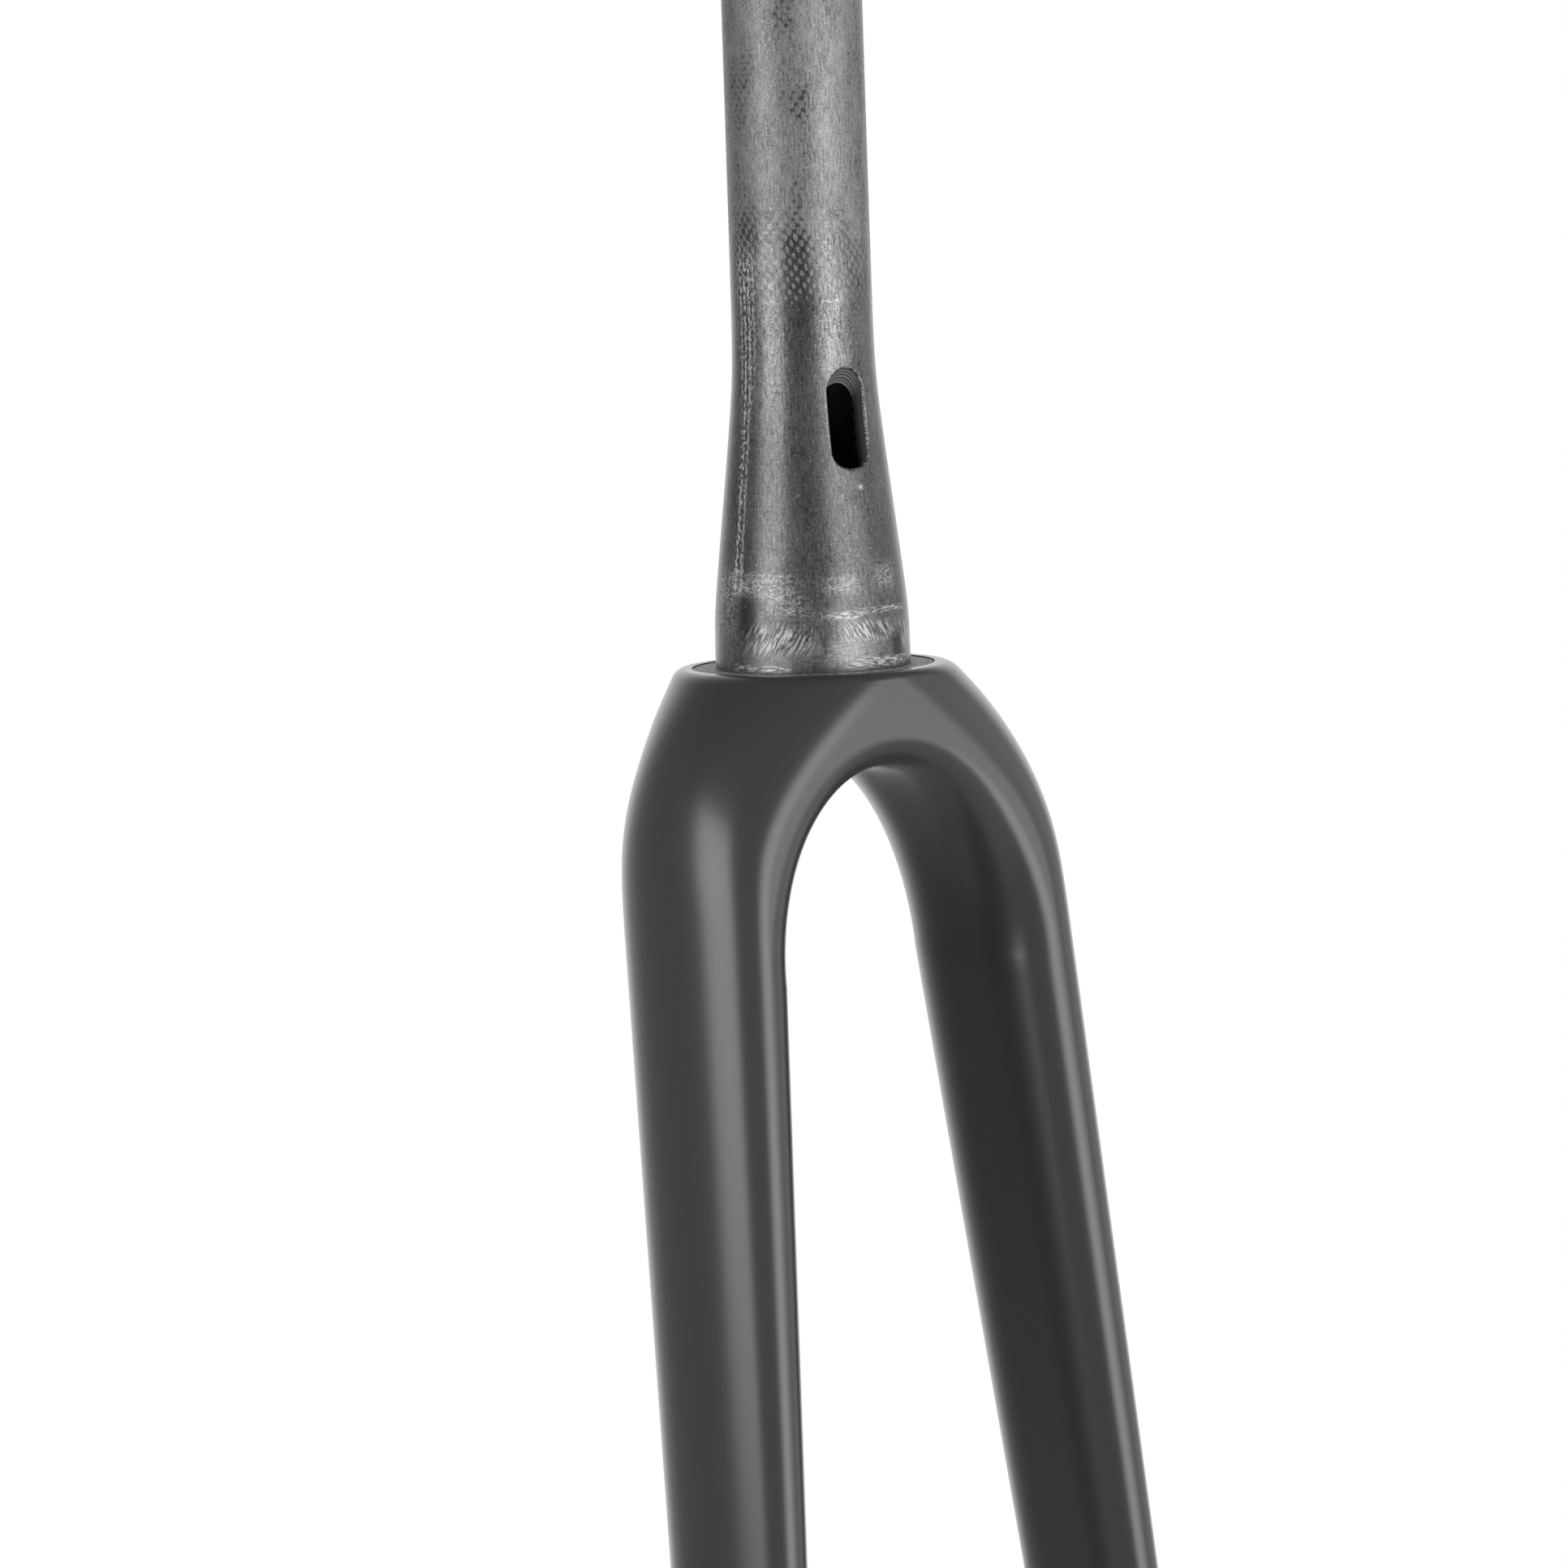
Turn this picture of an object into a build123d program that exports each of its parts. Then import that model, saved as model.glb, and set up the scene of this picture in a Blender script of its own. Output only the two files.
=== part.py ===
from build123d import *
import math
import os

# A rigid carbon bicycle fork for a disc brake, all in millimetres.
# Z runs up the steerer, the front of the fork faces -Y and +X is the rider's left, where the brake sits.
# The origin is on the steerer axis, in the flat face that the crown race seats on.

# Steerer
steerer_diameter = 28.6
steerer_length = 300.0
steerer_wall = 3.2
steerer_end_chamfer = 0.6
race_seat_diameter = 39.8
race_seat_height = 10.5
flare_height = 58.5
flare_bore_diameter = 30.0

# Hose port in the front of the flare, cut at a slant so that the hose runs down into it
port_width = 9.0
port_length = 22.0
port_height = 50.5
port_slant = 42.0

# Crown
crown_top_diameter = 56.0
crown_edge_break = 1.2
shoulder_height = 42.9
shoulder_fullness = 2.42
crown_depth_height = 40.9
crown_depth_fullness = 2.3
flat_front_height = 55.4
flat_front_fullness = 2.9
crown_bulge = 2.5
crown_bulge_height = 7.2
crown_back_fill = 2.2
crown_roof = 6.0
crown_roof_rise = 20.0

# Wheel gap and legs
arch_drop = 19.7
arch_height = 41.7
tyre_gap = 50.2
leg_width = 22.4
leg_depth = 45.7
leg_end_depth = 30.0
outer_side_share = 0.51
corner_width_share = 0.49
corner_depth_share = 0.92
arch_corner_width_share = 0.33
arch_corner_depth_share = 0.4
leg_wall = 2.8
leg_hollow_length = 250.0

# Dropouts and thru-axle
axle_to_crown = 380.0
fork_rake = 50.0
hub_width = 100.0
dropout_thickness = 12.0
dropout_radius = 17.6
dropout_edge_break = 2.5
axle_diameter = 12.0
axle_clearance = 0.1
axle_thread_bore = 10.4
insert_diameter = 18.0
insert_flange_diameter = 22.0
insert_flange_depth = 2.0
bond_line = 0.05

# Brake mount on the rear of the left leg
brake_bolt_spacing = 70.0
brake_lower_bolt_height = 36.0
brake_pad_width = 18.0
brake_pad_end = 10.0
brake_pad_rise = 3.0
brake_pad_draft = 14.0
brake_pad_edge_break = 1.0
brake_insert_diameter = 9.0
brake_insert_length = 12.0
brake_thread_bore = 4.2

# Hose exit in the rear of the left leg
exit_height = 150.0
exit_hole_width = 7.0
exit_hole_length = 13.0
grommet_rim = 1.4
grommet_rim_depth = 1.6
grommet_depth = 5.0
grommet_wall = 0.9

# Values that follow from the sizes above
crown_radius = crown_top_diameter / 2
gap_half = tyre_gap / 2
arch_spring = arch_drop + arch_height
leg_length = axle_to_crown - arch_spring
axle_end = hub_width / 2 + dropout_thickness
leg_outer_half = gap_half + leg_width
outer_slope = (axle_end - leg_outer_half) / leg_length
gap_slope = (hub_width / 2 - gap_half) / leg_length
depth_slope = (leg_depth - leg_end_depth) / 2 / leg_length
rake_slope = (fork_rake - crown_bulge) / axle_to_crown
leg_outer_at_seat = leg_outer_half - outer_slope * arch_spring
leg_depth_at_seat = leg_depth / 2 + depth_slope * arch_spring
shoulder_slope = outer_slope + shoulder_fullness * (leg_outer_at_seat - crown_radius) / shoulder_height

# Above the seat the skin closes in a dome, which is trimmed off flat at the seat
dome_angle = math.atan(shoulder_slope)
dome_radius = crown_radius / math.sin(dome_angle)
dome_height = dome_radius * (1 - math.cos(dome_angle))

# Sections of the loft: how many over each half of the arch, and the points on each
arch_sections = 7
corner_points = 3
face_points = 7


def gap_side(drop):
    """Half width of the wheel gap at a leg, at a drop below the seat."""
    return gap_half + gap_slope * (drop - arch_spring)


def leg_side(drop):
    """Outer half width along the straight line of the legs."""
    return leg_outer_at_seat + outer_slope * drop


def leg_half_depth(drop):
    """Fore and aft half depth along the straight line of the legs."""
    return leg_depth_at_seat - depth_slope * drop


def outer_side(drop):
    """Outer half width of crown and legs: the dome, then the shoulder running out into the leg line."""
    if drop < 0:
        return math.sqrt(max(dome_radius**2 - (dome_radius - dome_height - drop) ** 2, 0))
    left = 1 - min(drop / shoulder_height, 1)
    return leg_side(drop) - (leg_outer_at_seat - crown_radius) * left**shoulder_fullness


def skin_depth(drop):
    """Fore and aft half depth, from the round crown top to the slim legs."""
    left = 1 - min(max(drop, -dome_height) / crown_depth_height, 1)
    return leg_half_depth(drop) + (crown_radius - leg_depth_at_seat) * left**crown_depth_fullness


def crown_back(drop):
    """Extra half depth behind the crown's rim, most at a third of the way down to the arch and none there."""
    share = min(drop / arch_drop, 1)
    return crown_back_fill * 27 / 4 * share * (1 - share) ** 2


def flat_front(drop):
    """Half width of the flat stretch in the front, none at the crown top."""
    left = 1 - min(max(drop / flat_front_height, 0), 1)
    rounded = outer_side_share * (leg_side(drop) - gap_side(drop))
    return (outer_side(drop) - rounded) * (1 - left**flat_front_fullness)


def centre_line(drop):
    """Fore and aft place of the section's middle: the rake, and the crown's forward bulge."""
    return -rake_slope * drop - crown_bulge * (1 - math.exp(-drop / crown_bulge_height))


def closing(drop, start, rise):
    """Share of the half depth that is left where a dome closes over the section."""
    return math.sqrt(max(1 - (max(start - drop, 0) / rise) ** 2, 0))


def arch_station(turn):
    """Section plane square to the arch wall at a turn from its top: point, direction, width and tightness."""
    foot = Vector(gap_half * math.sin(turn), 0, arch_height * math.cos(turn) - arch_spring)
    normal = Vector(math.sin(turn) / gap_half, 0, math.cos(turn) / arch_height).normalized()
    return foot, normal, leg_width, math.cos(turn) ** 2


def leg_station(side, drop):
    """Level section plane through one leg at a drop below the seat."""
    width = leg_side(drop) - gap_side(drop)
    return Vector(side * gap_side(drop), 0, -drop), Vector(side, 0, 0), width, 0


def section_reach(foot, way, inset, top):
    """Length of a section from the arch wall out to the skin, found by halving."""
    near, far = 0.0, 2 * axle_end
    for _ in range(50):
        middle = (near + far) / 2
        point = foot + way * middle
        inside = point.Z < top and abs(point.X) < outer_side(-point.Z) - inset
        near, far = (middle, far) if inside else (near, middle)
    return near


def section_half(station, inset, dome_start, dome_rise, way_out):
    """Points of half a section, from the arch wall's middle round a corner and over the face to the tip.

    The front corner is tighter at the top of the arch and opens out down to the legs.
    """
    wall_foot, way, width, tightness = station
    tight = tightness if way_out < 0 else 0
    width_share = corner_width_share + (arch_corner_width_share - corner_width_share) * tight
    depth_share = corner_depth_share + (arch_corner_depth_share - corner_depth_share) * tight
    foot = wall_foot + way * inset
    corner = width_share * width - inset / 2
    reach = section_reach(foot, way, inset, dome_rise - dome_start)
    turns = [math.pi / 2 * step / corner_points for step in range(corner_points)]
    sweeps = [math.pi / 2 * step / face_points for step in range(face_points)]
    runs = [corner * (1 - math.cos(turn)) for turn in turns]
    runs += [corner + (reach - corner) * math.sin(sweep) for sweep in sweeps]
    points = [Vector(foot.X, centre_line(-foot.Z), foot.Z)]
    for run in runs:
        point = foot + way * run
        drop = -point.Z
        side = outer_side(drop) - inset
        flat = min(flat_front(drop), side)
        share = min(max((abs(point.X) - flat) / max(side - flat, 1e-9), 0), 1)
        swell = math.sqrt(1 - share**2)
        depth = (skin_depth(drop) - inset) * swell
        if way_out > 0:
            depth += crown_back(drop) * swell**3
        depth *= closing(drop, dome_start, dome_rise)
        bend = max(1 - run / corner, 0)
        corner_depth = depth_share * leg_half_depth(drop) - inset
        depth -= corner_depth * (1 - math.sqrt(1 - bend**2))
        points.append(Vector(point.X, centre_line(drop) + way_out * depth, point.Z))
    tip = foot + way * reach
    points.append(Vector(tip.X, centre_line(-tip.Z), tip.Z))
    return points


def section_spacing(halves):
    """Places of the points along a half section, from 0 to 1, by their mean distances over all halves."""
    gaps = [[(after - before).length for before, after in zip(half, half[1:])] for half in halves]
    means = [sum(lengths) for lengths in zip(*gaps)]
    return [sum(means[:place]) / sum(means) for place in range(len(means) + 1)]


def section_curve(points, way, places):
    """Smooth curve through points, which sets off along a way and comes back against it."""
    pace = way * sum((after - before).length for before, after in zip(points, points[1:]))
    return Edge.make_spline(points, tangents=[pace, -pace], parameters=places, scale=False)


def section_ring(front, rear, places):
    """Closed section of a front and a rear curve, which meet smoothly at the arch wall and at the tip."""
    forward = Vector(0, -1, 0)
    return Wire([section_curve(front, forward, places), section_curve(rear, -forward, places)])


def arch_and_legs(leg_end, inset, dome_start, dome_rise):
    """Solid from leg to leg: a smooth loft over the arch, and a straight taper down each leg."""
    turns = [math.pi / 2 * step / arch_sections for step in range(-arch_sections, arch_sections + 1)]
    planes = [leg_station(-1, leg_end)] + [arch_station(turn) for turn in turns] + [leg_station(1, leg_end)]
    fronts = [section_half(plane, inset, dome_start, dome_rise, -1) for plane in planes]
    rears = [section_half(plane, inset, dome_start, dome_rise, 1) for plane in planes]
    places = section_spacing(fronts + rears)
    rings = [section_ring(front, rear, places) for front, rear in zip(fronts, rears)]
    arch = Solid.make_loft(rings[1:-1])
    return arch + Solid.make_loft(rings[:2], ruled=True) + Solid.make_loft(rings[-2:], ruled=True)


def rear_plane(height, rise):
    """Plane behind the left leg at a height above the axle, looking forward into the leg."""
    drop = axle_to_crown - height
    along = Vector(0, rake_slope, 1).normalized()
    middle = Vector((gap_side(drop) + leg_side(drop)) / 2, centre_line(drop), -drop)
    rearward = along.cross(Vector(1, 0, 0))
    return Plane(origin=middle + rearward * (skin_depth(drop) + rise), x_dir=(1, 0, 0), z_dir=-rearward)


def flare_radius(height):
    """Outer radius of the flare at a height above the seat."""
    share = (height - race_seat_height) / (flare_height - race_seat_height)
    return race_seat_diameter / 2 + (steerer_diameter - race_seat_diameter) / 2 * share


def crown_edge_ring():
    """Ring that breaks the sharp edge round the crown top at half the shoulder's angle."""
    inside = crown_radius - crown_edge_break
    outside = crown_radius + dome_height
    fall = (outside - inside) * math.tan((math.pi / 2 - dome_angle) / 2)
    profile = Polyline((inside, 0), (outside, -fall), (outside, dome_height), (inside, 0))
    return revolve(make_face(Plane.XZ * profile), Axis.Z)


def steerer_body():
    """Outside of the steerer: race seat, flare and straight tube, turned about Z."""
    seat = race_seat_diameter / 2
    tube = steerer_diameter / 2
    profile = Polyline(
        (0, -crown_roof / 2),
        (seat, -crown_roof / 2),
        (seat, race_seat_height),
        (tube, flare_height),
        (tube, steerer_length - steerer_end_chamfer),
        (tube - steerer_end_chamfer, steerer_length),
        (0, steerer_length),
        (0, -crown_roof / 2),
    )
    return revolve(make_face(Plane.XZ * profile), Axis.Z)


def steerer_bore():
    """Inside of the steerer, opening into the hollow of the crown."""
    tube = steerer_diameter / 2 - steerer_wall
    flare = flare_bore_diameter / 2
    foot = -(crown_roof + arch_drop) / 2
    profile = Polyline(
        (0, foot),
        (flare, foot),
        (flare, race_seat_height),
        (tube, flare_height),
        (tube, steerer_length),
        (0, steerer_length),
        (0, foot),
    )
    return revolve(make_face(Plane.XZ * profile), Axis.Z)


def hose_port():
    """Slot through the front wall of the flare, slanting down into the bore."""
    start = race_seat_diameter / 2
    slant = math.radians(port_slant)
    rise = (start - flare_radius(port_height)) * math.tan(slant)
    mouth = Plane(origin=(0, -start, port_height + rise), x_dir=(1, 0, 0), z_dir=(0, 1, 0))
    outline = mouth * SlotOverall(port_length, port_width, rotation=90)
    return extrude(outline, amount=start / math.cos(slant), dir=(0, math.cos(slant), -math.sin(slant)))


def dropout(side):
    """Round dropout about the axle, at one leg's end."""
    face = Plane(origin=(side * hub_width / 2, -fork_rake, -axle_to_crown), z_dir=(side, 0, 0))
    disc = extrude(face * Circle(dropout_radius), amount=dropout_thickness)
    return chamfer(disc.edges(), dropout_edge_break)


def flanged_sleeve(side, gap):
    """Sleeve through a dropout with a flange sunk in its outer face, grown all round by a gap."""
    face = Plane(origin=(side * (hub_width / 2 - gap), -fork_rake, -axle_to_crown), z_dir=(side, 0, 0))
    length = dropout_thickness + 2 * gap
    flange_length = insert_flange_depth + 2 * gap
    sleeve = extrude(face * Circle(insert_diameter / 2 + gap), amount=length)
    seat = face.offset(length - flange_length)
    flange = extrude(seat * Circle(insert_flange_diameter / 2 + gap), amount=flange_length)
    return sleeve + flange


def axle_hole(side, diameter):
    """Round hole along the axle, through one dropout."""
    face = Plane(origin=(side * hub_width / 2, -fork_rake, -axle_to_crown), z_dir=(side, 0, 0))
    return extrude(face * Circle(diameter / 2), amount=dropout_thickness)


def brake_pad_plane():
    """Plane of the brake mount's face, looking forward into the leg."""
    return rear_plane(brake_lower_bolt_height + brake_bolt_spacing / 2, brake_pad_rise)


def brake_pad():
    """Raised flat pad behind the leg, narrowing into it."""
    length = brake_bolt_spacing + 2 * brake_pad_end
    outline = brake_pad_plane() * SlotOverall(length, brake_pad_width, rotation=90)
    block = extrude(outline, amount=brake_pad_rise + leg_end_depth / 3, taper=brake_pad_draft)
    face_edges = block.faces().sort_by(Axis((0, 0, 0), brake_pad_plane().z_dir)).first.edges()
    return chamfer(face_edges, brake_pad_edge_break)


def brake_rods(diameter, length):
    """Two round rods into the pad at the bolt places."""
    face = brake_pad_plane()
    circles = [face * place * Circle(diameter / 2) for place in GridLocations(0, brake_bolt_spacing, 1, 2)]
    return extrude(Sketch() + circles, amount=length)


def exit_slot(shrink, start, depth):
    """Upright slot at the hose exit, from a start behind the leg to a depth inside it."""
    plane = rear_plane(exit_height, start)
    outline = plane * SlotOverall(exit_hole_length - 2 * shrink, exit_hole_width - 2 * shrink, rotation=90)
    return extrude(outline, amount=start + depth)


def fork_body():
    """The whole moulded carbon body, hollow from the steerer down into both legs."""
    skin = arch_and_legs(axle_to_crown, 0, 0, dome_height)
    above = Pos(0, 0, dome_height) * Box(4 * crown_radius, 4 * crown_radius, 2 * dome_height)
    hollow = arch_and_legs(leg_hollow_length, leg_wall, crown_roof + crown_roof_rise, crown_roof_rise)
    body = skin - above - crown_edge_ring()
    body = body + steerer_body() + dropout(-1) + dropout(1) + brake_pad()
    body = body - (hollow + steerer_bore()) - hose_port()
    body = body - flanged_sleeve(-1, bond_line) - flanged_sleeve(1, bond_line)
    body = body - brake_rods(brake_insert_diameter + 2 * bond_line, brake_insert_length + bond_line)
    return body - exit_slot(0, grommet_rim_depth, 2 * grommet_depth)


def hose_grommet(body):
    """Rubber grommet: a rim seated on the leg's skin and a lip that lines the exit hole."""
    rim = exit_slot(-grommet_rim, grommet_rim_depth, grommet_rim_depth)
    lip = exit_slot(bond_line, grommet_rim_depth, grommet_depth)
    passage = exit_slot(grommet_wall, 2 * grommet_rim_depth, 2 * grommet_depth)
    return (rim - body) + lip - passage


os.makedirs("parts", exist_ok=True)

carbon = fork_body()
export_step(carbon, "parts/fork_body.step")

thread_insert = flanged_sleeve(-1, 0) - axle_hole(-1, axle_thread_bore)
export_step(thread_insert, "parts/axle_thread_insert.step")

sleeve_insert = flanged_sleeve(1, 0) - axle_hole(1, axle_diameter + axle_clearance)
export_step(sleeve_insert, "parts/axle_sleeve_insert.step")

brake_inserts = brake_rods(brake_insert_diameter, brake_insert_length)
brake_inserts = brake_inserts - brake_rods(brake_thread_bore, brake_insert_length)
export_step(brake_inserts, "parts/brake_mount_inserts.step")

grommet = hose_grommet(carbon)
export_step(grommet, "parts/hose_exit_grommet.step")
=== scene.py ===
import bmesh
import bpy
import math
import numpy as np
from mathutils import Matrix


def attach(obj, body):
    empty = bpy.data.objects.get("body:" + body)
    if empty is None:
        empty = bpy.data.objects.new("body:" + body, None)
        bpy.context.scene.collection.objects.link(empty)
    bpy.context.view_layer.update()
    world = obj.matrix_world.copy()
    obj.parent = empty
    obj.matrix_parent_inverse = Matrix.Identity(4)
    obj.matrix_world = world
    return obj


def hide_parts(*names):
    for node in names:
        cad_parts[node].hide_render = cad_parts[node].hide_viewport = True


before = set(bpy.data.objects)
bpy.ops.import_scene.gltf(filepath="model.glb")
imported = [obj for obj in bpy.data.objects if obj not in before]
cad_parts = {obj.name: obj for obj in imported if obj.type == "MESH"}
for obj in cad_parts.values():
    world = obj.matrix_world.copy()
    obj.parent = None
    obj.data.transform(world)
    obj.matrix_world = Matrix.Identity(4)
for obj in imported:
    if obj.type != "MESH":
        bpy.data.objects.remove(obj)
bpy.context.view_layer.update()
scene = bpy.context.scene
scene.view_settings.view_transform = "Standard"
mm = 0.001
weld = 2e-6  # doubles nearer than this are merged, in metres


def linear(hexColour):
    # sRGB hex to linear light, with alpha 1
    parts = np.array([int(hexColour[i:i + 2], 16) for i in (1, 3, 5)]) / 255
    light = np.where(parts <= 0.04045, parts / 12.92, ((parts + 0.055) / 1.055) ** 2.4)
    return (*light.tolist(), 1.0)


def feed(tree, node, inputs):
    # an input that is given another node's output is linked to it, and any other is set
    for socket, value in inputs.items():
        if isinstance(value, bpy.types.NodeSocket):
            tree.links.new(value, node.inputs[socket])
        else:
            node.inputs[socket].default_value = value


def addNode(tree, kind, inputs=None, operation=None, **settings):
    # one node with its settings and inputs; gives the first of its outputs that is in use
    node = tree.nodes.new("ShaderNode" + kind)
    if operation:
        node.operation = operation
    for name, value in settings.items():
        setattr(node, name, value)
    feed(tree, node, inputs or {})
    return next(output for output in node.outputs if output.enabled)


def gridFaces(rows, columns, start=0):
    # quads between neighbouring rows and columns of a grid of points
    i, j = np.meshgrid(np.arange(rows - 1), np.arange(columns - 1), indexing="ij")
    corner = start + i * columns + j
    return np.stack([corner, corner + 1, corner + columns + 1, corner + columns], -1).reshape(-1, 4)


def joinSheets(sheets):
    # several grids (rows, columns, 3) become one list of points and quads
    points, faces, start = [], [], 0
    for sheet in sheets:
        faces.append(gridFaces(sheet.shape[0], sheet.shape[1], start))
        points.append(sheet.reshape(-1, 3))
        start += sheet.shape[0] * sheet.shape[1]
    return np.concatenate(points), np.concatenate(faces)


def makePiece(name, points, faces, materials, faceMaterial=None, tubeMap=None, marks=None, sharpTurn=None):
    # points in millimetres; doubles are merged, open ends closed and faces turned outwards
    mesh = bpy.data.meshes.new(name)
    mesh.from_pydata((points * mm).tolist(), [], faces.tolist())
    for material in materials:
        mesh.materials.append(material)
    if faceMaterial is not None:
        mesh.polygons.foreach_set("material_index", faceMaterial.astype(np.int32))
    if tubeMap is not None:
        layer = mesh.uv_layers.new(name="tubeMm")
        layer.data.foreach_set("uv", tubeMap[faces].reshape(-1).astype(np.float32))
    for kind, values in (marks or {}).items():
        layer = mesh.attributes.new(kind, "FLOAT_COLOR", "POINT")
        layer.data.foreach_set("color", values.reshape(-1).astype(np.float32))
    work = bmesh.new()
    work.from_mesh(mesh)
    bmesh.ops.remove_doubles(work, verts=work.verts, dist=weld)
    bmesh.ops.dissolve_degenerate(work, edges=work.edges, dist=weld / 2)
    bmesh.ops.holes_fill(work, edges=[edge for edge in work.edges if edge.is_boundary], sides=0)
    bmesh.ops.recalc_face_normals(work, faces=work.faces)
    work.to_mesh(mesh)
    work.free()
    mesh.shade_smooth()
    if sharpTurn:
        mesh.set_sharp_from_angle(angle=math.radians(sharpTurn))
    piece = bpy.data.objects.new(name, mesh)
    scene.collection.objects.link(piece)
    return piece


# Materials

def newMaterial(name, metallic, roughness, ior=1.5):
    material = bpy.data.materials.new(name)
    material.use_nodes = True
    tree = material.node_tree
    shader = tree.nodes["Principled BSDF"]
    feed(tree, shader, {"Metallic": metallic, "Roughness": roughness})
    if not metallic:
        shader.inputs["IOR"].default_value = ior
    return material, tree, shader


def twoTone(tree, shader, made, share, height):
    # colour from the material's dark tone to its light one by a share, over a relief that follows a height
    tone = addNode(tree, "Mix", {"A": linear(made["dark"]), "B": linear(made["light"]), "Factor": share},
                   data_type="RGBA")
    bump = addNode(tree, "Bump", {"Strength": made["reliefStrength"], "Distance": made["reliefMm"] * mm,
                                  "Height": height})
    feed(tree, shader, {"Base Color": tone, "Normal": bump})
    return tone


# Black polyurethane paint under a satin clear coat, sprayed: a dark film with a soft gloss, faint orange peel
# and pale dust nibs
satinPaint = dict(dark="#3a3a3b", light="#8a8a8b", roughness=0.8, coatRoughness=0.27, peelMm=1.4,
                  nibCellMm=16.0, nibMm=0.22, nibCore=0.6, reliefMm=0.02, reliefStrength=0.2)


def paintMaterial():
    made = satinPaint
    paint, tree, shader = newMaterial("satin black paint, sprayed", 0.0, made["roughness"])
    feed(tree, shader, {"Specular IOR Level": 0.0, "Coat Weight": 1.0,
                        "Coat Roughness": made["coatRoughness"]})
    place = addNode(tree, "TexCoord").node.outputs["Object"]
    peel = addNode(tree, "TexNoise", {"Scale": 1 / (made["peelMm"] * mm), "Detail": 2.0, "Vector": place})
    nibs = addNode(tree, "TexVoronoi", {"Scale": 1 / (made["nibCellMm"] * mm), "Vector": place})
    size = made["nibMm"] / made["nibCellMm"]
    dust = addNode(tree, "MapRange", {"From Min": size * made["nibCore"], "From Max": size,
                                      "To Min": 1.0, "To Max": 0.0, "Value": nibs})
    twoTone(tree, shader, made, dust, peel)
    return paint


# Carbon laminate faced bare for the crown race: a dull grey ring with pale scuffs, and painted shade, near
# black, in the corner under the small step down from the paint
facedRing = dict(radius=24.8, step=0.2, dark="#5a5a5b", light="#dededf", darkAndShade="#060606", shadeMm=0.35,
                 shadeFade=0.2, scuffMm=(1.6, 0.9), scuffLevel=(0.85, 1.2), roughness=0.55, reliefMm=0.05,
                 reliefStrength=0.3)


def ringMaterial():
    made = facedRing
    ring, tree, shader = newMaterial("carbon laminate, faced", 0.0, made["roughness"])
    place = addNode(tree, "TexCoord").node.outputs["Object"]
    scuffs = [addNode(tree, "TexNoise", {"Scale": 1 / (size * mm), "Detail": 4.0, "Roughness": 0.7,
                                         "Vector": place}) for size in made["scuffMm"]]
    both = addNode(tree, "Math", {0: scuffs[0], 1: scuffs[1]}, "ADD")
    start, full = made["scuffLevel"]
    rubbed = addNode(tree, "MapRange", {"From Min": start, "From Max": full, "Value": both})
    tone = twoTone(tree, shader, made, rubbed, rubbed)
    flat = addNode(tree, "Mapping", {"Scale": (1.0, 1.0, 0.0), "Vector": place})
    radius = addNode(tree, "VectorMath", {0: flat}, "LENGTH")
    # painted shade: the ring is drawn near black just inside the step down from the paint, and on the step's
    # wall
    corner = (made["radius"] - made["shadeMm"]) * mm
    cornerShade = addNode(tree, "MapRange", {"From Min": corner - made["shadeFade"] * mm, "From Max": corner,
                                      "Value": radius})
    shown = addNode(tree, "Mix", {"A": tone, "B": linear(made["darkAndShade"]), "Factor": cornerShade}, data_type="RGBA")
    feed(tree, shader, {"Base Color": shown})
    return ring


# Bare carbon laminate, moulded under peel ply and sanded by hand above a step: the fibres shine like dull
# metal where they are left as moulded and are matt grey where sanded; the staggered print of the peel ply
# stays in the hollows, a ragged mould seam runs up each side, and the race seat is scratched pale
bareLaminate = dict(
    fibre=("#28282a", "#808082"), sanded=("#444445", "#969698"), scratch="#cacaca", darkAndShade="#1c1c1d",
    metallic=(0.9, 0.5), flareMetallic=0.5, scratchShine=0.15, roughness=(0.33, 0.5),
    flareDarkening=0.35, flareFrom=(44.0, 66.0), stepHeight=74.6, stepFade=0.8, sandedOver=22.0,
    printPitch=2.0, printRow=1.22, printSkew=0.15, printBend=1.1, printTall=0.6, printLevel=(2.85, 3.45),
    printFleck=1.5, printTakenDown=1.4, printCloud=3.0, dotRagged=1.2,
    strokeLean=0.4, leanFrom=(-9.0, -5.0), seamLineMm=1.3, seamRagged=14.0,
    # each noise: width and height of its marks in millimetres, and detail
    noises=dict(grain=(0.45, 2.4, 3.0), speck=(0.45, 0.45, 2.0), cloud=(5.0, 16.0, 4.0),
                stroke=(0.42, 3.2, 3.0), hair=(1.5, 1.1, 4.0), fleck=(0.5, 1.0, 3.0), chipAndHighlight=(1.5, 0.4, 4.0)),
    # each pale mark: mask, pattern, the pattern's start and full level, strength
    paleMarks=(("hatch", "stroke", 0.46, 0.58, 0.85), ("chipAndHighlight", "chipAndHighlight", 0.47, 0.56, 1.0),
               ("smear", "chipAndHighlight", 0.3, 0.8, 0.6), ("hair", "hairLine", 0.05, 0.0, 0.6),
               ("hair", "speck", 0.3, 0.8, 0.25), ("seam", "seamLine", 6.8, 8.2, 0.8),
               ("moulded", "dots", 2.0, 2.35, 0.35)),
    mottle=(("grain", 1.4), ("speck", 1.3), ("cloud", 1.0)), mottleFrom=-1.35,
    # each pale nick, and each pit, which is painted shade with no hollow in the relief: arc, height, radius,
    # strength
    nicks=((1.1, 36.9, 0.6, 0.9), (-10.5, 35.8, 0.3, 0.35)), pitShade=((-2.1, 27.8, 0.3, 0.9),),
    spotTorn=2.4, spotEdge=(1.8, 2.2), grainRelief=0.6, reliefMm=0.05, reliefStrength=0.35)
wearChannels = dict(wear=("sanded", "hatch", "seam", "takenDown"), scuff=("hair", "chipAndHighlight", "smear", "dark"))


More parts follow.
